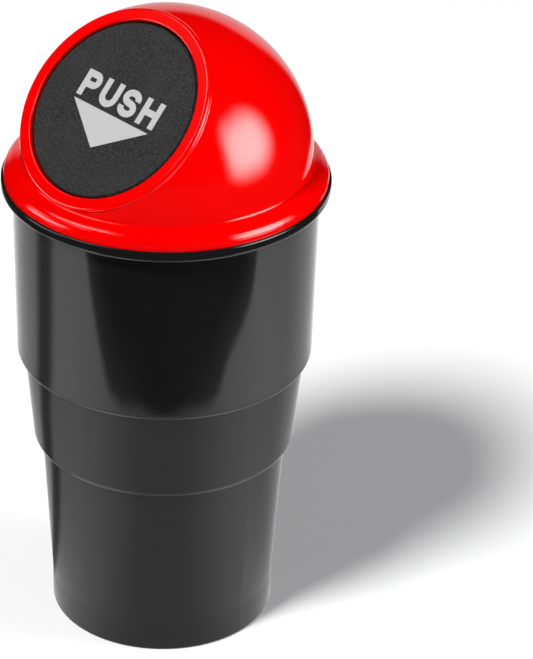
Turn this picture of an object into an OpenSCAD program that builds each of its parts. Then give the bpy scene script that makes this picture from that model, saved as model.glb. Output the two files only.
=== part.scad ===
// Small waste bin for a car's cup holder, in millimetres: a stepped tapered cup, a domed
// lid that pushes into its mouth, and a round flap that a spring holds shut.
// The base stands on z = 0 with its centre at the origin, +Z is up and the flap faces -Y.

/* [Cup] */
// Height of the cup to the top of its rim
cup_h = 120.4; // [112:0.2:140]
// Diameter of the foot
foot_d = 55.8; // [50:0.2:57]
// Height of the upright stretch at the foot
foot_h = 8; // [3:0.5:20]
// How much the lower tier's radius grows on its way up
low_flare = 2.5; // [1:0.05:3]
// Height of the lower tier
low_h = 47.4; // [40:0.1:55]
// Width of the lower step
low_step_w = 2.15; // [1.5:0.05:2.6]
// Height of the lower step's rounding
low_step_h = 2.6; // [1.6:0.1:4]
// How much the middle tier's radius grows on its way up
mid_flare = 2.05; // [0.5:0.05:2.5]
// Height of the middle tier
mid_h = 24.5; // [15:0.1:28]
// Width of the upper step
top_step_w = 1.85; // [1.5:0.05:2.6]
// Height of the upper step's rounding
top_step_h = 1.9; // [1.6:0.1:4]
// How much the upper tier's radius grows on its way up
top_flare = 0.85; // [0.3:0.05:1.5]
// Wall of the cup
cup_wall = 1.6; // [1.2:0.1:2]
// Thickness of the floor
floor_t = 1.8; // [1.4:0.1:3]
// How far the floor is set up above the foot ring
base_recess = 1.2; // [0.6:0.1:2]
// Width of the foot ring
foot_ring_w = 3.2; // [2:0.1:5]
// Rounding of the foot's outer edge
foot_round = 0.6; // [0.4:0.1:1.5]

/* [Rim] */
// How far the rim stands out beyond the wall
rim_overhang = 2.7; // [2.4:0.1:4]
// Height of the rim
rim_h = 2.8; // [2.4:0.1:4]
// Thickness of the turned-down lip and of the rim's top
rim_lip = 1.3; // [1:0.1:1.6]
// Rounding of the rim's lower edge
rim_round = 1; // [0.4:0.1:1.2]

/* [Lid] */
// Height of the dome's centre above the rim
dome_rise = 6.4; // [5:0.1:9]
// Wall of the dome
lid_wall = 1.6; // [1.4:0.1:1.8]
// How far the collar's edge lies inside the rim's edge
collar_inset = 0.6; // [0.2:0.1:1]
// Width of the collar, from its edge in to the dome
collar_w = 3.9; // [3.6:0.1:4.2]
// Height of the collar's upright edge
collar_edge_h = 0.5; // [0.3:0.1:1]
// Width of the collar's rounding
collar_round_w = 1.95; // [1.4:0.05:2.4]
// Height where the collar's rounding ends
collar_break_h = 3.5; // [2.8:0.1:3.8]
// Height of the valley between collar and dome
valley_h = 4.4; // [4:0.1:4.9]
// Radius of the fillet in the valley
valley_round = 0.9; // [0.4:0.1:1.2]
// Depth of the skirt that plugs into the cup
skirt_h = 8; // [5:0.5:14]
// Thickness of the skirt
skirt_t = 1.3; // [1:0.1:1.4]
// Clearance between the skirt and the cup's wall
plug_gap = 0.25; // [0.15:0.05:0.4]
// Width of the groove under the collar
groove_w = 1.6; // [1:0.1:2]
// Depth of the groove under the collar
groove_h = 2; // [1:0.1:2.2]

/* [Opening] */
// Slant of the opening away from level
opening_tilt = 46; // [44:0.5:48]
// Diameter of the opening
hole_d = 45.8; // [44:0.1:46.4]
// Width of the raised bezel round the opening
bezel_w = 3.3; // [2.8:0.05:3.8]
// How far the bezel's edge stands out of the dome
bezel_rise = 1.2; // [1.1:0.05:1.6]
// Rounding of the bezel's edges
bezel_round = 0.8; // [0.4:0.1:0.9]
// Radius of the fillet between bezel and dome
bezel_fillet = 0.5; // [0.3:0.1:0.6]
// Depth of the stop face behind the bezel's face
land_depth = 3; // [2.8:0.1:3.3]

/* [Flap] */
// Gap all round between the flap and the opening
flap_gap = 0.45; // [0.4:0.05:0.7]
// How far the flap's face lies behind the bezel's face
flap_recess = 0.4; // [0.2:0.1:0.7]
// Thickness of the flap's plate
flap_t = 2; // [1.8:0.1:2.1]
// Bevel round the flap's face
flap_bevel = 0.4; // [0.2:0.1:0.6]
// Wall of the flap's rim
flap_rim_t = 1.5; // [1:0.1:2]
// How far the stop flange reaches behind the opening's edge
flange_reach = 1.1; // [0.8:0.1:1.2]
// Thickness of the stop flange
flange_t = 1.3; // [1:0.1:1.6]
// Clearance between the stop flange and its stop face
stop_gap = 0.3; // [0.2:0.05:0.4]
// Height of the ribs behind the flap
rib_h = 1; // [0.6:0.1:1.4]
// Thickness of the ribs behind the flap
rib_t = 1.2; // [0.8:0.1:1.6]

/* [Hinge] */
// How far the hinge axis lies inside the opening's edge
hinge_inset = 1.45; // [1.2:0.05:1.8]
// Diameter of the hinge pin
pin_d = 2; // [1.6:0.1:2.2]
// Running clearance between the pin and the flap's arms
pin_run = 0.05; // [0.02:0.01:0.1]
// Clearance between the pin and the lid's lugs
pin_seat = 0.02; // [0.01:0.01:0.05]
// How far the pin stands out of each lug
pin_end = 0.8; // [0.4:0.1:1.2]
// Diameter of the eyes round the pin
eye_d = 4.4; // [4:0.1:4.6]
// Distance between the flap's two arms
arm_span = 12; // [10.5:0.1:13]
// Thickness of each arm
arm_t = 2; // [1.6:0.1:2.2]
// Thickness of each lug
lug_t = 2; // [1.6:0.1:2.4]
// Side clearance between an arm and its lug
side_gap = 0.4; // [0.2:0.05:0.6]

/* [Spring] */
// Diameter of the spring's wire
wire_d = 0.6; // [0.5:0.05:0.7]
// Number of full turns
coil_turns = 8; // [5:1:9]
// Distance from one turn to the next
coil_pitch = 0.85; // [0.75:0.05:1]
// Length of the leg that lies on the flap
leg_l = 9; // [6:0.5:12]
// Clearance between a leg and what it presses on
leg_gap = 0.3; // [0.2:0.05:0.4]

/* [Hidden] */
$fn = 128;
over = 1;
arc_steps = 7;
step_sweep = 80;
wire_sides = 8;
ring_steps = 16;

foot_r = foot_d / 2;
low_top_r = foot_r + low_flare;
mid_low_r = low_top_r + low_step_w;
mid_top_r = mid_low_r + mid_flare;
top_low_r = mid_top_r + top_step_w;
top_top_r = top_low_r + top_flare;
rim_r = top_top_r + rim_overhang;
mid_top_z = low_h + mid_h;
top_low_z = mid_top_z + top_step_h;
rim_low_z = cup_h - rim_h;
step_lift = 0.8 * cup_wall;
mouth_chamfer = 0.4;

collar_r = rim_r - collar_inset;
collar_break_r = collar_r - collar_round_w;
dome_r = collar_r - collar_w;
dome_z = cup_h + dome_rise;
dome_in_r = dome_r - lid_wall;
valley_r = sqrt(pow(dome_r, 2) - pow(dome_rise - valley_h, 2));
slope_a = atan((valley_h - collar_break_h) / (collar_break_r - valley_r));
skirt_low_z = cup_h - skirt_h;
skirt_lead = 0.5;

hole_r = hole_d / 2;
bezel_r = hole_r + bezel_w;
bezel_h = sqrt(pow(dome_r, 2) - pow(bezel_r, 2)) + bezel_rise;
land_h = bezel_h - land_depth;
flap_r = hole_r - flap_gap;
flap_face_h = bezel_h - flap_recess;
flap_back_h = flap_face_h - flap_t;
flange_r = hole_r + flange_reach;
flange_face_h = land_h - stop_gap;
flange_back_h = flange_face_h - flange_t;

eye_r = eye_d / 2;
hinge_u = hole_r - hinge_inset;
hinge_v = flap_back_h - eye_r - side_gap;
hinge_y = hinge_u * cos(opening_tilt) - hinge_v * sin(opening_tilt);
hinge_z = dome_z + hinge_u * sin(opening_tilt) + hinge_v * cos(opening_tilt);
arm_in_x = arm_span / 2;
arm_out_x = arm_in_x + arm_t;
lug_in_x = arm_out_x + side_gap;
lug_out_x = lug_in_x + lug_t;
pin_half_l = lug_out_x + pin_end;
arm_foot = 12;

wire_r = wire_d / 2;
coil_r = flap_back_h - hinge_v - leg_gap - wire_r;
coil_l = coil_turns * coil_pitch;
pocket_r = max(eye_r, coil_r + wire_r) + side_gap;

// Points on an arc about (cx, cy) from angle a to angle b
function arc(cx, cy, r, a, b, n = arc_steps) =
    [for (i = [0:n]) let (t = a + (b - a) * i / n) [cx + r * cos(t), cy + r * sin(t)]];

// A rounded step of height h from the tier below, at radius r0 and height z0, out to radius r1
function step_curve(r0, r1, z0, h) =
    [for (i = [0:arc_steps]) let (t = step_sweep * (1 - i / arc_steps))
        [r0 + (r1 - r0) * (cos(t) - cos(step_sweep)) / (1 - cos(step_sweep)),
         z0 + h * (1 - sin(t) / sin(step_sweep))]];

// The tiers' line from above the foot to the rim, moved in by the wall and lifted at the steps
function tiers(inset, lift) = concat(
    [[foot_r - inset, foot_h]],
    step_curve(low_top_r - inset, mid_low_r - inset, low_h + lift, low_step_h),
    step_curve(mid_top_r - inset, top_low_r - inset, mid_top_z + lift, top_step_h));

// Inside radius of the cup's upper wall at height z
function mouth_r(z) = top_low_r - cup_wall + top_flare * (z - top_low_z) / (rim_low_z - top_low_z);

function reversed(list) = [for (i = [len(list) - 1:-1:0]) list[i]];

// Moves into the frame of the slanted opening: local Z leaves its face, local Y runs up it
module at_opening() {
    translate([0, 0, dome_z]) rotate([opening_tilt, 0, 0]) children();
}

// A rod along X on the hinge axis
module hinge_rod(r, half_l) {
    translate([0, hinge_y, hinge_z]) rotate([0, 90, 0]) cylinder(r = r, h = 2 * half_l, center = true);
}

// The one-piece cup: stepped wall, foot ring, set-up floor and turned-down rim
module cup() {
    outer = concat(
        arc(foot_r - foot_round, foot_round, foot_round, -90, 0),
        tiers(0, 0),
        [[mouth_r(cup_h - rim_lip) + cup_wall, cup_h - rim_lip],
         [rim_r - rim_lip, cup_h - rim_lip],
         [rim_r - rim_lip, rim_low_z]],
        arc(rim_r - rim_round, rim_low_z + rim_round, rim_round, -90, 0),
        arc(rim_r - mouth_chamfer, cup_h - mouth_chamfer, mouth_chamfer, 0, 90));
    inner = concat(
        [[mouth_r(cup_h) + mouth_chamfer, cup_h], [mouth_r(cup_h), cup_h - mouth_chamfer]],
        reversed(tiers(cup_wall, step_lift)),
        arc(foot_r - cup_wall - floor_t, base_recess + 2 * floor_t, floor_t, 0, -90),
        [[0, base_recess + floor_t]]);
    underside = [
        [0, base_recess],
        [foot_r - foot_ring_w - base_recess / 2, base_recess],
        [foot_r - foot_ring_w, 0]];
    color("#1c1c1e") rotate_extrude() polygon(concat(outer, inner, underside));
}

// The lid's turned body: collar, dome and the skirt that plugs into the cup
module lid_body() {
    edge_r = (pow(collar_r - collar_break_r, 2) + pow(collar_break_h - collar_edge_h, 2))
        / (2 * (collar_r - collar_break_r));
    edge_a = asin((collar_break_h - collar_edge_h) / edge_r);
    fillet_run = valley_round / tan((90 + slope_a) / 2);
    outline = concat(
        [[0, skirt_low_z],
         [mouth_r(skirt_low_z) - plug_gap - skirt_lead, skirt_low_z],
         [mouth_r(skirt_low_z + 2 * skirt_lead) - plug_gap, skirt_low_z + 2 * skirt_lead],
         [mouth_r(cup_h) - plug_gap, cup_h],
         [collar_r, cup_h]],
        arc(collar_r - edge_r, cup_h + collar_edge_h, edge_r, 0, edge_a),
        reversed(arc(valley_r + valley_round, cup_h + valley_h + fillet_run,
            valley_round, 180, 270 - slope_a)),
        [[0, cup_h + valley_h + fillet_run]]);
    rotate_extrude() polygon(outline);
    intersection() {
        translate([0, 0, dome_z]) sphere(r = dome_r);
        translate([0, 0, cup_h]) cylinder(r = 2 * dome_r, h = 2 * dome_r);
    }
}

// The raised bezel, turned about the opening's axis, with a fillet down to the dome
module bezel() {
    fillet_r = bezel_r + bezel_fillet;
    fillet_h = sqrt(pow(dome_r + bezel_fillet, 2) - pow(fillet_r, 2));
    fillet_a = atan(fillet_h / fillet_r);
    rotate_extrude() polygon(concat(
        [[0, land_h]],
        [[dome_in_r * cos(fillet_a), land_h]],
        arc(fillet_r, fillet_h, bezel_fillet, 180 + fillet_a, 180),
        arc(bezel_r - bezel_round, bezel_h - bezel_round, bezel_round, 0, 90),
        [[0, bezel_h]]));
}

// The space inside the lid: the dome's hollow up to the stop face, the skirt's bore,
// the opening with its rounded mouth, and the pocket that the hinge turns in
module lid_hollow() {
    bore_r = mouth_r(skirt_low_z) - plug_gap - skirt_t;
    intersection() {
        union() {
            translate([0, 0, dome_z]) sphere(r = dome_in_r);
            translate([0, 0, skirt_low_z - over])
                cylinder(r = min(bore_r, dome_in_r), h = dome_rise + skirt_h + over);
        }
        at_opening() translate([0, 0, land_h - 2 * dome_r]) cylinder(r = 2 * dome_r, h = 2 * dome_r);
    }
    at_opening() rotate_extrude() polygon(concat(
        [[0, land_h - over], [hole_r, land_h - over]],
        reversed(arc(hole_r + bezel_round / 2, bezel_h - bezel_round / 2,
            bezel_round / 2, 90, 180)),
        [[bezel_r + over, bezel_h], [bezel_r + over, dome_r + over], [0, dome_r + over]]));
    hinge_rod(pocket_r, lug_in_x);
}

// The two lugs that hang from the dome and hold the pin
module lugs() {
    intersection() {
        for (side = [-1, 1]) translate([side * (lug_in_x + lug_t / 2), hinge_y, hinge_z]) {
            rotate([0, 90, 0]) cylinder(r = eye_r, h = lug_t, center = true);
            translate([-lug_t / 2, -eye_r, 0]) cube([lug_t, eye_d, dome_z + dome_r - hinge_z]);
        }
        translate([0, 0, dome_z]) sphere(r = dome_r - lid_wall / 2);
    }
}

// The one-piece lid
module lid_shell() {
    groove_in = mouth_r(cup_h) + (collar_r - mouth_r(cup_h) - groove_w) / 2;
    color("red") difference() {
        union() {
            difference() {
                union() {
                    lid_body();
                    at_opening() bezel();
                }
                lid_hollow();
            }
            lugs();
        }
        hinge_rod(pin_d / 2 + pin_seat, pin_half_l + over);
        translate([0, 0, cup_h - over]) difference() {
            cylinder(r = groove_in + groove_w, h = groove_h + over);
            cylinder(r = groove_in, h = groove_h + over);
        }
    }
}

// One arm of the flap: an eye round the pin and a web that spreads onto the plate's back
module arm() {
    root_h = flap_back_h + flap_t / 4;
    rotate([90, 0, 90]) linear_extrude(height = arm_t) polygon([
        [hinge_u - arm_foot, root_h],
        [hinge_u - flap_t / 2, root_h],
        [hinge_u, hinge_v + eye_r * 0.9],
        [hinge_u, hinge_v],
        [hinge_u - eye_r * 0.5, hinge_v - eye_r * 0.75],
        [hinge_u - arm_foot, flap_back_h - rib_h / 2]]);
}

// The push flap: a dished plate with a stop flange behind the opening's edge
module flap() {
    cut_x = pin_half_l + side_gap;
    rib_x = arm_in_x + arm_t / 2;
    rib_low_u = sqrt(pow(flap_r - flap_rim_t / 2, 2) - pow(rib_x + rib_t / 2, 2));
    color("#3a3a3a") difference() {
        union() {
            at_opening() {
                difference() {
                    rotate_extrude() polygon([
                        [0, flap_back_h],
                        [flap_r - flap_rim_t, flap_back_h],
                        [flap_r - flap_rim_t, flange_back_h],
                        [flange_r, flange_back_h],
                        [flange_r, flange_face_h],
                        [flap_r, flange_face_h],
                        [flap_r, flap_face_h - flap_bevel],
                        [flap_r - flap_bevel, flap_face_h],
                        [0, flap_face_h]]);
                    translate([-cut_x, 0, flange_back_h - over])
                        cube([2 * cut_x, flange_r + over, flap_back_h - flange_back_h + over]);
                }
                for (side = [-1, 1]) translate([side * rib_x, 0, 0]) {
                    translate([-arm_t / 2, 0, 0]) arm();
                    translate([-rib_t / 2, -rib_low_u, flap_back_h - rib_h])
                        cube([rib_t, rib_low_u + hinge_u - arm_foot + rib_t, rib_h + flap_t / 4]);
                }
            }
            for (side = [-1, 1])
                translate([side * rib_x, hinge_y, hinge_z])
                    rotate([0, 90, 0]) cylinder(r = eye_r, h = arm_t, center = true);
        }
        hinge_rod(pin_d / 2 + pin_run, arm_out_x + over);
    }
}

// The steel pin, with small chamfers at its ends
module hinge_pin() {
    chamfer = pin_d / 8;
    color("silver") translate([-pin_half_l, hinge_y, hinge_z]) rotate([90, 0, 90])
        rotate_extrude() polygon([
            [0, 0],
            [pin_d / 2 - chamfer, 0],
            [pin_d / 2, chamfer],
            [pin_d / 2, 2 * pin_half_l - chamfer],
            [pin_d / 2 - chamfer, 2 * pin_half_l],
            [0, 2 * pin_half_l]]);
}

// A point of the spring's centre line in the Y-Z plane through the hinge axis
function on_coil(a) = [coil_r * cos(a), coil_r * sin(a)];

// The torsion spring: one leg under the dome, the coil round the pin, one leg on the flap
module return_spring() {
    lift = 90;
    sweep = 360 * coil_turns + opening_tilt;
    steps = ring_steps * coil_turns + 2;
    roof_leg = sqrt(pow(dome_in_r - leg_gap - wire_r, 2) - pow(hinge_z - dome_z + coil_r, 2))
        - hinge_y;
    last_a = lift + sweep;
    path = concat(
        [[coil_l / 2, roof_leg, coil_r]],
        [for (i = [0:steps]) let (a = lift + sweep * i / steps, p = on_coil(a))
            [coil_l / 2 - coil_l * i / steps, p[0], p[1]]],
        [[-coil_l / 2,
          coil_r * cos(last_a) - leg_l * sin(last_a),
          coil_r * sin(last_a) + leg_l * cos(last_a)]]);
    turn = concat([lift], [for (i = [0:steps]) lift + sweep * i / steps], [last_a]);
    rings = len(path);
    points = [for (i = [0:rings - 1]) for (k = [0:wire_sides - 1])
        let (b = 360 * k / wire_sides, c = wire_r * cos(b))
            path[i] + [wire_r * sin(b), c * cos(turn[i]), c * sin(turn[i])]];
    sides = [for (i = [0:rings - 2]) for (k = [0:wire_sides - 1])
        let (a = i * wire_sides, n = (k + 1) % wire_sides)
            [a + k, a + n, a + wire_sides + n, a + wire_sides + k]];
    ends = [
        [for (k = [wire_sides - 1:-1:0]) k],
        [for (k = [0:wire_sides - 1]) (rings - 1) * wire_sides + k]];
    color("silver") translate([0, hinge_y, hinge_z])
        polyhedron(points = points, faces = concat(sides, ends));
}

cup();
lid_shell();
flap();
hinge_pin();
return_spring();
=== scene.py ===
"""A small car trash bin: a stepped glossy black cup, a red dome lid and a sprung slanted flap."""

from math import cos, pi, radians, sin, sqrt

import bmesh
import bpy
from mathutils import Matrix, Vector


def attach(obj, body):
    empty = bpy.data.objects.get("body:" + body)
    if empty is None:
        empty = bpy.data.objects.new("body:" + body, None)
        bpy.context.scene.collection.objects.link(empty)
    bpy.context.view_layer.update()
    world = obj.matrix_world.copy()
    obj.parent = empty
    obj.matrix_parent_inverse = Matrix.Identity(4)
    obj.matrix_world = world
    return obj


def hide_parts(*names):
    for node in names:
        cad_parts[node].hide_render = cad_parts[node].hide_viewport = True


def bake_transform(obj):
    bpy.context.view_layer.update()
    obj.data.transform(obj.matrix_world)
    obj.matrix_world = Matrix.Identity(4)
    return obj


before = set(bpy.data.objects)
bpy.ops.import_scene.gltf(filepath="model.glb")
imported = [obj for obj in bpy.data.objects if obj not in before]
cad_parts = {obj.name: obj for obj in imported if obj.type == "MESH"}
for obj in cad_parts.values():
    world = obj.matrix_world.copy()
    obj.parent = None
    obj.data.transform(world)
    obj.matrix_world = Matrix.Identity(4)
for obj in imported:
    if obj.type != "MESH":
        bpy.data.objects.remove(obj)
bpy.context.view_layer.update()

MM = 0.001

# The slanted opening, in millimetres. Its frame starts at the dome's centre
DOME_Z = 126.8
DOME_IN_R = 33.9
OPENING_TILT = radians(46)
FLAP_FACE_H = 24.754
OPENING_X = Vector((1, 0, 0))
OPENING_U = Vector((0, cos(OPENING_TILT), sin(OPENING_TILT)))
OPENING_H = Vector((0, -sin(OPENING_TILT), cos(OPENING_TILT)))

# The camera as fitted to the photograph, in metres and pixels
PHOTO_W = 533
PHOTO_H = 659
FOCAL_PX = 3725.4
CAM_DISTANCE = 0.9229
CAM_AZIMUTH = radians(45)
CAM_ELEVATION = radians(30.118)
CAM_ROLL = radians(0.6228)
AIM_POINT = Vector((0, 0, 0.0754))
AIM_PX = (164.72, 334.61)
SENSOR_MM = 36
CLIP_NEAR = 0.01
CLIP_FAR = 20


def make_camera():
    """A camera where the photograph was taken from; the bin stands left of the picture's middle."""
    back = Vector((
        sin(CAM_AZIMUTH) * cos(CAM_ELEVATION),
        -cos(CAM_AZIMUTH) * cos(CAM_ELEVATION),
        sin(CAM_ELEVATION),
    ))
    level = Vector((cos(CAM_AZIMUTH), sin(CAM_AZIMUTH), 0))
    upward = back.cross(level)
    right = level * cos(CAM_ROLL) + upward * sin(CAM_ROLL)
    up = upward * cos(CAM_ROLL) - level * sin(CAM_ROLL)
    facing = Matrix((right, up, back)).transposed()
    aim_ray = Vector((
        (AIM_PX[0] - PHOTO_W / 2) / FOCAL_PX,
        (PHOTO_H / 2 - AIM_PX[1]) / FOCAL_PX,
        -1,
    ))
    turn = aim_ray.rotation_difference(Vector((0, 0, -1))).to_matrix()
    data = bpy.data.cameras.new("camera")
    data.sensor_fit = "HORIZONTAL"
    data.sensor_width = SENSOR_MM
    data.lens = FOCAL_PX / PHOTO_W * SENSOR_MM
    data.clip_start = CLIP_NEAR
    data.clip_end = CLIP_FAR
    camera = bpy.data.objects.new("camera", data)
    bpy.context.scene.collection.objects.link(camera)
    place = Matrix.Translation(AIM_POINT + back * CAM_DISTANCE)
    camera.matrix_world = place @ (facing @ turn).to_4x4()
    bpy.context.scene.camera = camera


make_camera()


class Tree:
    """Short calls for building one node tree."""

    def __init__(self, owner):
        owner.use_nodes = True
        self.tree = owner.node_tree
        self.tree.nodes.clear()

    def put(self, socket, value):
        if isinstance(value, bpy.types.NodeSocket):
            self.tree.links.new(value, socket)
        else:
            socket.default_value = value

    def add(self, kind, inputs=None, **settings):
        node = self.tree.nodes.new(kind)
        for key, value in settings.items():
            setattr(node, key, value)
        for key, value in (inputs or {}).items():
            self.put(node.inputs[key], value)
        return node

    def math(self, operation, first, second=0.0, third=0.0):
        values = {0: first, 1: second, 2: third}
        return self.add("ShaderNodeMath", values, operation=operation).outputs[0]

    def ramp(self, value, low, high, out_low=0.0, out_high=1.0):
        """Value taken smoothly from the range low to high to the range out_low to out_high."""
        inputs = {
            "Value": value,
            "From Min": low,
            "From Max": high,
            "To Min": out_low,
            "To Max": out_high,
        }
        node = self.add("ShaderNodeMapRange", inputs, interpolation_type="SMOOTHSTEP")
        return node.outputs["Result"]

    def mix(self, factor, first, second):
        node = self.add("ShaderNodeMix", data_type="RGBA")
        for key, value in (("Factor", factor), ("A", first), ("B", second)):
            socket = [s for s in node.inputs if s.name == key and s.enabled][0]
            self.put(socket, value)
        return [s for s in node.outputs if s.enabled][0]

    def noise(self, vector, scale, detail=2.0, roughness=0.5):
        inputs = {"Vector": vector, "Scale": scale, "Detail": detail, "Roughness": roughness}
        return self.add("ShaderNodeTexNoise", inputs).outputs["Fac"]

    def place(self):
        """The point on the piece, in metres."""
        return self.add("ShaderNodeTexCoord").outputs["Object"]

    def finish(self, shader, output="ShaderNodeOutputMaterial"):
        out = self.add(output)
        self.put(out.inputs["Surface"], shader.outputs[0])


def grey(value):
    return (value, value, value, 1)


def tint(colour, share):
    return (colour[0] * share, colour[1] * share, colour[2] * share, 1)


def principled(tree, shade, rough, height, strength, distance, metallic=0.0):
    bump = tree.add("ShaderNodeBump", {"Height": height, "Strength": strength, "Distance": distance})
    return tree.add("ShaderNodeBsdfPrincipled", {
        "Base Color": shade,
        "Metallic": metallic,
        "Roughness": rough,
        "Normal": bump.outputs["Normal"],
    })


# Glossy plastic. Scales are in waves a metre, and each range is where a noise fades in
CLOUD_SCALE = 35
CLOUD_SHARE = 0.94
DUST_SCALE = 210.0
DUST_SIZE = (0.04, 0.09)
DUST_FIELD_SCALE = 120
DUST_FIELD_RANGE = (0.61, 0.63)
DUST_GREY = 0.16
SCUFF_STRETCH = (1, 1, 0.12)
SCUFF_SCALE = 900
SCUFF_RANGE = (0.6, 0.72)
WEAR_SCALE = 55
WEAR_RANGE = (0.5, 0.7)
WEAR_ROUGHENS = 1.2
WEAR_DEPTH = -0.06
POLISH_SCALE = 240
POLISH_RANGE = (0.3, 0.75)
POLISH_LOSS = 1.35
PEEL_SCALE = 300
PEEL_HEIGHT = 0.00003


def glossy_plastic(name, colour, roughness, peel, dust):
    """Moulded glossy plastic: faint orange peel, uneven polish, fine scuffs and specks of dust."""
    material = bpy.data.materials.new(name)
    tree = Tree(material)
    place = tree.place()
    cloud = tree.noise(place, CLOUD_SCALE, detail=3)
    shade = tree.mix(cloud, tint(colour, CLOUD_SHARE), tint(colour, 1.0))
    dots = tree.add("ShaderNodeTexVoronoi", {"Vector": place, "Scale": DUST_SCALE}).outputs["Distance"]
    picked = tree.ramp(tree.noise(place, DUST_FIELD_SCALE, detail=1), *DUST_FIELD_RANGE)
    dot = tree.math("MULTIPLY", tree.ramp(dots, *DUST_SIZE, 1, 0), picked)
    shade = tree.mix(tree.math("MULTIPLY", dot, dust), shade, grey(DUST_GREY))
    scuffed = tree.add("ShaderNodeMapping", {"Vector": place, "Scale": SCUFF_STRETCH}).outputs[0]
    scuff = tree.ramp(tree.noise(scuffed, SCUFF_SCALE, detail=5, roughness=0.7), *SCUFF_RANGE)
    wear = tree.ramp(tree.noise(place, WEAR_SCALE), *WEAR_RANGE)
    worn = tree.math("MULTIPLY", scuff, wear)
    polish = tree.noise(place, POLISH_SCALE, detail=4, roughness=0.6)
    polish = tree.ramp(polish, *POLISH_RANGE, roughness, roughness * POLISH_LOSS)
    rough = tree.math("MULTIPLY_ADD", worn, roughness * WEAR_ROUGHENS, polish)
    height = tree.math("MULTIPLY_ADD", worn, WEAR_DEPTH, tree.noise(place, PEEL_SCALE))
    tree.finish(principled(tree, shade, rough, height, peel, PEEL_HEIGHT))
    return material


# Grained plastic, in the same units
CELL_SHARE = 0.8
CELL_DEPTH = 0.8
GRAIN_RANGE = (0.36, 0.66)
GRAIN_HEIGHT = 0.00006
RUB_SCALE = 70
RUB_RANGE = (0.3, 0.7)
RUB_SMOOTHS = 0.9
RUB_ROUGHENS = 1.1


def grained(name, colour, roughness, fineness, depth, contrast):
    """Matt plastic with a fine leathery grain, rubbed a little smoother in places."""
    material = bpy.data.materials.new(name)
    tree = Tree(material)
    place = tree.place()
    cells = tree.add("ShaderNodeTexVoronoi", {"Vector": place, "Scale": fineness * CELL_SHARE})
    fine = tree.noise(place, fineness, detail=3, roughness=0.6)
    height = tree.math("MULTIPLY_ADD", cells.outputs["Distance"], CELL_DEPTH, fine)
    rub = tree.noise(place, RUB_SCALE, detail=3)
    tone = tree.ramp(fine, *GRAIN_RANGE)
    shade = tree.mix(tone, tint(colour, 1 - contrast), tint(colour, 1 + contrast))
    rough = tree.ramp(rub, *RUB_RANGE, roughness * RUB_SMOOTHS, roughness * RUB_ROUGHENS)
    tree.finish(principled(tree, shade, rough, height, depth, GRAIN_HEIGHT))
    return material


# Drawn steel, in the same units
STREAK_SCALE = 1500
STREAK_RANGE = (0.3, 0.7)
STREAK_ROUGH = (0.22, 0.38)
STREAK_STRENGTH = 0.2
STREAK_HEIGHT = 0.00002
STEEL_DARK = (0.5, 0.5, 0.51, 1)
STEEL_LIGHT = (0.68, 0.68, 0.69, 1)


def steel(name):
    """Drawn steel wire and rod: bright, with fine streaks."""
    material = bpy.data.materials.new(name)
    tree = Tree(material)
    streak = tree.noise(tree.place(), STREAK_SCALE, detail=3)
    rough = tree.ramp(streak, *STREAK_RANGE, *STREAK_ROUGH)
    shade = tree.mix(streak, STEEL_DARK, STEEL_LIGHT)
    tree.finish(principled(tree, shade, rough, streak, STREAK_STRENGTH, STREAK_HEIGHT, metallic=1.0))
    return material


BLACK = glossy_plastic("black_gloss", (0.0078, 0.0078, 0.008), roughness=0.06, peel=0.22, dust=0.05)
RED = glossy_plastic("red_gloss", (0.79, 0.0, 0.0), roughness=0.085, peel=0.15, dust=0.0)
GRAIN = grained(
    "grained_black",
    (0.0162, 0.0162, 0.0164),
    roughness=0.6,
    fineness=2100,
    depth=1.0,
    contrast=0.88,
)
PRINT = grained(
    "print_grey",
    (0.475, 0.475, 0.475),
    roughness=0.6,
    fineness=2600,
    depth=0.12,
    contrast=0.05,
)
STEEL = steel("steel")

for node, material in (
    ("cup", BLACK),
    ("lid_shell", RED),
    ("flap", GRAIN),
    ("hinge_pin", STEEL),
    ("return_spring", STEEL),
):
    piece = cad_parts[node]
    piece.data.materials.clear()
    piece.data.materials.append(material)


def new_piece(name, mesh, material):
    """An object from a bmesh whose points are in millimetres."""
    data = bpy.data.meshes.new(name)
    bmesh.ops.scale(mesh, vec=(MM, MM, MM), verts=mesh.verts)
    mesh.normal_update()
    mesh.to_mesh(data)
    mesh.free()
    data.materials.append(material)
    piece = bpy.data.objects.new(name, data)
    bpy.context.scene.collection.objects.link(piece)
    return piece


# The print on the flap, in millimetres: one common word and a pointer, in plain block strokes
PRINT_CORNER = Vector((-12.6, -0.33))
PRINT_TURN = radians(-1.25)
PRINT_RISE = 0.02
PRINT_SINK = 0.01
STROKE = 1.68
CAP_H = 6.85
ARC_STEPS = 14
MITRE_LIMIT = 0.5
SEAM = 0.01

# Where the letters and the pointer stand along the print's base line
P_TOP_L = 3.2
P_RIGHT = 5.35
P_BOWL_LOW = 2.45
U_SPAN = (6.58, 12.22)
S_SPAN = (13.15, 18.7)
S_OVERSHOOT = 0.12
H_SPAN = (20.05, 25.9)
H_BAR_Y = 3.5
POINTER = ((0.05, -0.95), (25.46, -1.1), (12.62, -10.05))


def on_flap(x, y, rise):
    """A point of the print's own flat frame, as a point of the part."""
    u = x * sin(PRINT_TURN) + y * cos(PRINT_TURN) + PRINT_CORNER.y
    x = x * cos(PRINT_TURN) - y * sin(PRINT_TURN) + PRINT_CORNER.x
    centre = Vector((0, 0, DOME_Z))
    return centre + OPENING_X * x + OPENING_U * u + OPENING_H * (FLAP_FACE_H + rise)


def arc(x, y, reach_x, reach_y, start, end):
    """Points on an arc, from start to end in degrees."""
    angles = [radians(start + (end - start) * i / ARC_STEPS) for i in range(ARC_STEPS + 1)]
    return [(x + reach_x * cos(a), y + reach_y * sin(a)) for a in angles]


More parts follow.
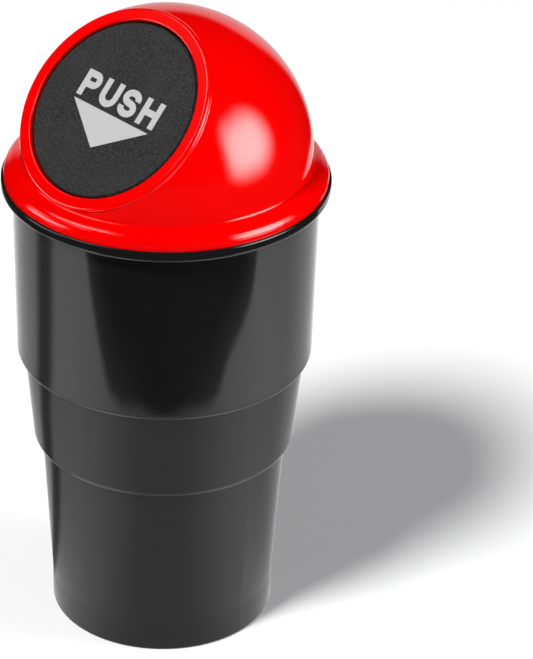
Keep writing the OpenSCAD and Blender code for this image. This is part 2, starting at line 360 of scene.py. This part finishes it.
def ribbon(path):
    """The two edges of one stroke along a path, with mitred corners."""
    points = [Vector(p) for p in path]
    left, right = [], []
    for i, point in enumerate(points):
        before = (point - points[i - 1]).normalized() if i > 0 else None
        after = (points[i + 1] - point).normalized() if i < len(points) - 1 else None
        ahead = ((before or after) + (after or before)).normalized()
        side = Vector((-ahead.y, ahead.x))
        reach = STROKE / 2 / max(MITRE_LIMIT, ahead.dot(after or before))
        left.append(point + side * reach)
        right.append(point - side * reach)
    return left, right


def add_ribbon(mesh, path):
    left, right = ribbon(path)
    rows = []
    for a, b in zip(left, right):
        corners = ((a, -PRINT_SINK), (a, PRINT_RISE), (b, PRINT_RISE), (b, -PRINT_SINK))
        rows.append([mesh.verts.new(on_flap(p.x, p.y, h)) for p, h in corners])
    for one, two in zip(rows, rows[1:]):
        for i in range(4):
            j = (i + 1) % 4
            mesh.faces.new((one[i], one[j], two[j], two[i]))
    mesh.faces.new(rows[0][::-1])
    mesh.faces.new(rows[-1])


def add_plate(mesh, outline):
    low = [mesh.verts.new(on_flap(x, y, -PRINT_SINK)) for x, y in outline]
    top = [mesh.verts.new(on_flap(x, y, PRINT_RISE)) for x, y in outline]
    mesh.faces.new(low[::-1])
    mesh.faces.new(top)
    for i in range(len(outline)):
        j = (i + 1) % len(outline)
        mesh.faces.new((low[i], low[j], top[j], top[i]))


def letter_strokes():
    """The middle lines of the strokes, letter by letter."""
    half = STROKE / 2
    bowl_low = P_BOWL_LOW + half
    bowl_mid = (bowl_low + CAP_H - half) / 2
    bowl_r = (CAP_H - half - bowl_low) / 2
    p = [(half, 0), (half, CAP_H - half), (P_TOP_L, CAP_H - half)]
    p += arc(P_RIGHT - half - bowl_r, bowl_mid, bowl_r, bowl_r, 85, -90)
    p += [(2 * half + SEAM, bowl_low)]
    u_left, u_right = U_SPAN[0] + half, U_SPAN[1] - half
    u_mid, u_r = (u_left + u_right) / 2, (u_right - u_left) / 2
    u = [(u_left, CAP_H)]
    u += arc(u_mid, half + u_r, u_r, u_r, 180, 360)
    u += [(u_right, CAP_H)]
    s_left, s_right = S_SPAN[0] + half, S_SPAN[1] - half
    s_mid, s_r = (s_left + s_right) / 2, (s_right - s_left) / 2
    s_high = (CAP_H + S_OVERSHOOT - half + CAP_H / 2) / 2
    s_tall = CAP_H + S_OVERSHOOT - half - s_high
    s = arc(s_mid, s_high, s_r, s_tall, -12, 262)
    s += arc(s_mid, CAP_H - s_high, s_r, s_tall, 82, -192)
    h_left, h_right = H_SPAN[0] + half, H_SPAN[1] - half
    h_bar = [(h_left + half + SEAM, H_BAR_Y), (h_right - half - SEAM, H_BAR_Y)]
    return {
        "print_P": [p],
        "print_U": [u],
        "print_S": [s],
        "print_H": [[(h_left, 0), (h_left, CAP_H)], [(h_right, 0), (h_right, CAP_H)], h_bar],
    }


def make_print():
    for name, strokes in letter_strokes().items():
        mesh = bmesh.new()
        for path in strokes:
            add_ribbon(mesh, path)
        bmesh.ops.recalc_face_normals(mesh, faces=mesh.faces)
        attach(new_piece(name, mesh, PRINT), "flap")
    mesh = bmesh.new()
    add_plate(mesh, POINTER)
    bmesh.ops.recalc_face_normals(mesh, faces=mesh.faces)
    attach(new_piece("print_pointer", mesh, PRINT), "flap")


# The torsion spring round the pin, in millimetres. Its path is drawn from the hinge's middle
HINGE_Y = 0.4026
HINGE_Z = 156.23
COIL_R = 2.0
COIL_TURNS = 8
COIL_PITCH = 0.85
COIL_START = radians(90)
WIRE_R = 0.3
WIRE_SIDES = 12
TURN_STEPS = 36
LEG_L = 9.0
LEG_GAP = 0.3
LEG_STEPS = 8


def spring_path():
    """The wire's middle line: the lid's leg, the coil and the flap's leg."""
    half_l = COIL_TURNS * COIL_PITCH / 2
    roof_r = DOME_IN_R - LEG_GAP - WIRE_R
    roof_leg = sqrt(roof_r ** 2 - (HINGE_Z - DOME_Z + COIL_R) ** 2) - HINGE_Y
    path = [Vector((half_l, roof_leg * (1 - i / LEG_STEPS), COIL_R)) for i in range(LEG_STEPS)]
    sweep = 2 * pi * COIL_TURNS + OPENING_TILT
    steps = TURN_STEPS * COIL_TURNS
    for i in range(steps + 1):
        angle = COIL_START + sweep * i / steps
        along = half_l - 2 * half_l * i / steps
        path.append(Vector((along, COIL_R * cos(angle), COIL_R * sin(angle))))
    last = COIL_START + sweep
    for i in range(1, LEG_STEPS + 1):
        reach = LEG_L * i / LEG_STEPS
        path.append(Vector((
            -half_l,
            COIL_R * cos(last) - reach * sin(last),
            COIL_R * sin(last) + reach * cos(last),
        )))
    return path


def add_tube(mesh, path, radius, sides):
    """A round wire along a path, with closed ends."""
    rings = []
    side = Vector((1, 0, 0))
    for i, point in enumerate(path):
        ahead = (path[min(i + 1, len(path) - 1)] - path[max(i - 1, 0)]).normalized()
        side = (side - ahead * side.dot(ahead)).normalized()
        up = ahead.cross(side)
        turns = [2 * pi * k / sides for k in range(sides)]
        rings.append([mesh.verts.new(point + (side * cos(t) + up * sin(t)) * radius) for t in turns])
    for one, two in zip(rings, rings[1:]):
        for k in range(sides):
            j = (k + 1) % sides
            face = mesh.faces.new((one[k], one[j], two[j], two[k]))
            face.smooth = True
    mesh.faces.new(rings[0][::-1])
    mesh.faces.new(rings[-1])


def make_spring():
    hinge = Vector((0, HINGE_Y, HINGE_Z))
    mesh = bmesh.new()
    add_tube(mesh, [hinge + p for p in spring_path()], WIRE_R, WIRE_SIDES)
    bmesh.ops.recalc_face_normals(mesh, faces=mesh.faces)
    spring = new_piece("spring_wire", mesh, STEEL)
    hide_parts("return_spring")
    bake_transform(spring)


make_print()
make_spring()


# The floor, the sky and the lamps, which stay in place in every view. Angles are in degrees,
# azimuth 0 towards the photographer and growing to the right, and distances in metres

# The patches of light that the gloss mirrors: centre, half size, corner and soft edge
WINDOW = ((68, 15), (20, 17.5), 16, 11)
HIGH_LIGHT = ((-90, 57), (22, 12), 10, 8)
LOW_LIGHT = ((-88, 6), (16, 11), 9, 6)
WALL = ((180, -32), (26, 46), 8, 5)
WINDOW_CUT = (43, 54)
WINDOW_STRENGTH = 12.2
HIGH_STRENGTH = 4.0
LOW_STRENGTH = 5.0
WALL_STRENGTH = 0.7
ROOM_STRENGTH = 0.005

# The soft light of the sky on matt surfaces, stronger round the right side
AMBIENT = (0.98, 0.98, 1.06)
SKY_SIDE = ((75, 35), (75, 50), 40, 30)
SKY_FAINT = 0.06
SKY_STRONG = 0.18
BACKDROP = 1.0

# The white sheet that the gloss mirrors, as a painted reflection: the floor glows with it to
# the gloss alone, lighter and darker by azimuth, painted darker near the bin's foot and with a
# painted dark stripe on the left. A row of four is a smooth ramp: from and to, then its two
# levels. A row of two rises from 0 to 1
SHEET_FRONT = 0.1235
SHEET_BULGE = 0.023
BULGE = (0.032, 0.104, SHEET_FRONT + SHEET_BULGE, SHEET_FRONT)
SLOPE = (0.11, 0.2, 0.0, 0.036)
EDGE = (-0.006, 0.005)
EDGE_GLOW = (0.0, 0.04, 0.16, 0)
EDGE_GLOW_SIDES = (0.03, 0.09)
# The painted dark stripe in the mirrored sheet, on the left
STRIPE_AZIMUTH = (0.1, 0.15, -110, -96.5)
STRIPE = (3, 14, 0.78, 0)
FRONT_LEVEL = (12, 55, 0.8, 1.42)
SIDE_LOSS = (66, 105, 0.0, 0.6)
BACK_GAIN = (125, 165, 0.0, 0.3)
# Painted shade: the mirrored sheet is darker near the bin's foot
FOOT_LEVEL = (0.115, 0.15, 0.7, 1.0)
SHEET_END = (120, 140, 0.232, 0.33)
END_SOFT = 0.008

# The floor itself, white with a faint glow of its own. EYE_H is how high above it the bin's
# mirroring walls are taken to be
FLOOR_R = 3
FLOOR_SIDES = 96
FLOOR_WHITE = 0.87
FLOOR_LIFT = 0.132
EYE_H = 0.15

# The lamps, LAMP_AWAY from the bin's foot: azimuth, elevation, half angle in radians and watts
LAMP_AWAY = 6.0
LAMPS = {
    "key": (-44, 55, 0.115, 374),
    "window_light": (82, 5, 0.25, 400),
}


def room_angles(tree, vector):
    """A vector's azimuth, elevation and reach in the room, and its parts to the right and front."""
    inputs = {"Vector": vector, "Angle": -CAM_AZIMUTH}
    turned = tree.add("ShaderNodeVectorRotate", inputs, rotation_type="Z_AXIS")
    parts = tree.add("ShaderNodeSeparateXYZ", {"Vector": turned.outputs[0]})
    x, y, z = parts.outputs[0], parts.outputs[1], parts.outputs[2]
    front = tree.math("MULTIPLY", y, -1.0)
    azimuth = tree.math("DEGREES", tree.math("ARCTAN2", x, front))
    reach = tree.math("SQRT", tree.math("MULTIPLY_ADD", x, x, tree.math("MULTIPLY", y, y)))
    elevation = tree.math("DEGREES", tree.math("ARCTAN2", z, reach))
    return azimuth, elevation, reach, x, front


def patch(tree, azimuth, elevation, centre, half, corner, soft):
    """1 inside a soft rectangle with round corners on the sky, 0 outside it."""
    across = tree.math("ABSOLUTE", tree.math("SUBTRACT", azimuth, centre[0]))
    along = tree.math("ABSOLUTE", tree.math("SUBTRACT", elevation, centre[1]))
    out_x = tree.math("MAXIMUM", tree.math("SUBTRACT", across, half[0] - corner), 0.0)
    out_y = tree.math("MAXIMUM", tree.math("SUBTRACT", along, half[1] - corner), 0.0)
    far = tree.math("MULTIPLY_ADD", out_x, out_x, tree.math("MULTIPLY", out_y, out_y))
    return tree.ramp(tree.math("SQRT", far), corner - soft, corner + soft, 1, 0)


def mirrored_room(tree, azimuth, elevation):
    """What the gloss mirrors: a window on the right, faint ones on the left, a pale wall behind."""
    turned = tree.math("ABSOLUTE", azimuth)
    window = patch(tree, azimuth, elevation, *WINDOW)
    window = tree.math("MULTIPLY", window, tree.ramp(azimuth, *WINDOW_CUT))
    high = patch(tree, azimuth, elevation, *HIGH_LIGHT)
    low = patch(tree, azimuth, elevation, *LOW_LIGHT)
    wall = patch(tree, turned, elevation, *WALL)
    light = tree.math("MULTIPLY_ADD", window, WINDOW_STRENGTH, ROOM_STRENGTH)
    light = tree.math("MULTIPLY_ADD", high, HIGH_STRENGTH, light)
    light = tree.math("MULTIPLY_ADD", low, LOW_STRENGTH, light)
    return tree.math("MULTIPLY_ADD", wall, WALL_STRENGTH, light)


def make_world():
    """The sky: plain white to the camera, the room to the gloss and soft light to all the rest."""
    world = bpy.data.worlds.new("studio")
    bpy.context.scene.world = world
    tree = Tree(world)
    direction = tree.add("ShaderNodeTexCoord").outputs["Generated"]
    azimuth, elevation = room_angles(tree, direction)[:2]
    mirrored = mirrored_room(tree, azimuth, elevation)
    side = patch(tree, azimuth, elevation, *SKY_SIDE)
    soft = tree.mix(side, tint(AMBIENT, SKY_FAINT), tint(AMBIENT, SKY_STRONG))
    path = tree.add("ShaderNodeLightPath")
    strength = tree.mix(path.outputs["Is Glossy Ray"], soft, mirrored)
    strength = tree.mix(path.outputs["Is Camera Ray"], strength, grey(BACKDROP))
    shader = tree.add("ShaderNodeBackground", {"Color": strength, "Strength": 1.0})
    tree.finish(shader, "ShaderNodeOutputWorld")


def sheet_light(tree, azimuth, reach, side, front):
    """The painted reflection of a white sheet under the bin, as the gloss sees it, in strength, and 1
    where there is sheet.
    """
    lateral = tree.math("ABSOLUTE", side)
    edge = tree.math("SUBTRACT", tree.ramp(lateral, *BULGE), tree.ramp(side, *SLOPE))
    past = tree.math("SUBTRACT", front, edge)
    glow = tree.math("MULTIPLY", tree.ramp(past, *EDGE_GLOW), tree.ramp(lateral, *EDGE_GLOW_SIDES))
    dark = tree.math("MULTIPLY", tree.ramp(past, *EDGE), tree.math("SUBTRACT", 1.0, glow))
    stripe_away = tree.math("SUBTRACT", azimuth, tree.ramp(reach, *STRIPE_AZIMUTH))
    stripe = tree.ramp(tree.math("ABSOLUTE", stripe_away), *STRIPE)
    turned = tree.math("ABSOLUTE", azimuth)
    level = tree.math("SUBTRACT", tree.ramp(turned, *FRONT_LEVEL), tree.ramp(turned, *SIDE_LOSS))
    light = tree.math("ADD", level, tree.ramp(turned, *BACK_GAIN))
    light = tree.math("MULTIPLY", light, tree.ramp(reach, *FOOT_LEVEL))
    light = tree.math("MULTIPLY", light, tree.math("SUBTRACT", 1.0, dark))
    light = tree.math("MULTIPLY", light, tree.math("SUBTRACT", 1.0, stripe))
    end = tree.ramp(azimuth, *SHEET_END)
    return light, tree.ramp(tree.math("SUBTRACT", end, reach), -END_SOFT, END_SOFT)


def make_floor():
    """White ground that keeps the shadow, and that glows to the gloss alone with a painted reflection of
    the sheet and the room.
    """
    bpy.ops.mesh.primitive_circle_add(vertices=FLOOR_SIDES, radius=FLOOR_R, fill_type="NGON")
    floor = bpy.context.active_object
    floor.name = "floor"
    material = bpy.data.materials.new("floor_white")
    tree = Tree(material)
    azimuth, _, reach, side, front = room_angles(tree, tree.place())
    light, sheet = sheet_light(tree, azimuth, reach, side, front)
    seen_down = tree.math("DEGREES", tree.math("ARCTAN2", -EYE_H, reach))
    room = mirrored_room(tree, azimuth, seen_down)
    # A painted reflection: the sheet and the room, glowing only to glossy rays
    glow = tree.add("ShaderNodeEmission", {"Color": tree.mix(sheet, room, light), "Strength": 1.0})
    diffuse = tree.add("ShaderNodeBsdfDiffuse", {"Color": grey(FLOOR_WHITE)})
    lift = tree.add("ShaderNodeEmission", {"Color": grey(1.0), "Strength": FLOOR_LIFT})
    lit = tree.add("ShaderNodeAddShader", {0: diffuse.outputs[0], 1: lift.outputs[0]})
    path = tree.add("ShaderNodeLightPath")
    tree.finish(tree.add("ShaderNodeMixShader", {
        0: path.outputs["Is Glossy Ray"],
        1: lit.outputs[0],
        2: glow.outputs[0],
    }))
    floor.data.materials.append(material)


def make_lamp(name, azimuth, elevation, half_angle, watts):
    """A large soft disc lamp that the gloss doesn't mirror."""
    azimuth = radians(azimuth)
    elevation = radians(elevation)
    data = bpy.data.lights.new(name, "AREA")
    data.shape = "DISK"
    data.size = 2 * LAMP_AWAY * half_angle
    data.energy = watts
    lamp = bpy.data.objects.new(name, data)
    bpy.context.scene.collection.objects.link(lamp)
    turn = Matrix.Rotation(CAM_AZIMUTH, 3, "Z")
    lamp.location = turn @ Vector((
        LAMP_AWAY * sin(azimuth) * cos(elevation),
        -LAMP_AWAY * cos(azimuth) * cos(elevation),
        LAMP_AWAY * sin(elevation),
    ))
    lamp.rotation_euler = lamp.location.to_track_quat("Z", "Y").to_euler()
    lamp.visible_glossy = False
    lamp.visible_camera = False


make_world()
make_floor()
for lamp_name, settings in LAMPS.items():
    make_lamp(lamp_name, *settings)

bpy.context.scene.view_settings.view_transform = "Standard"
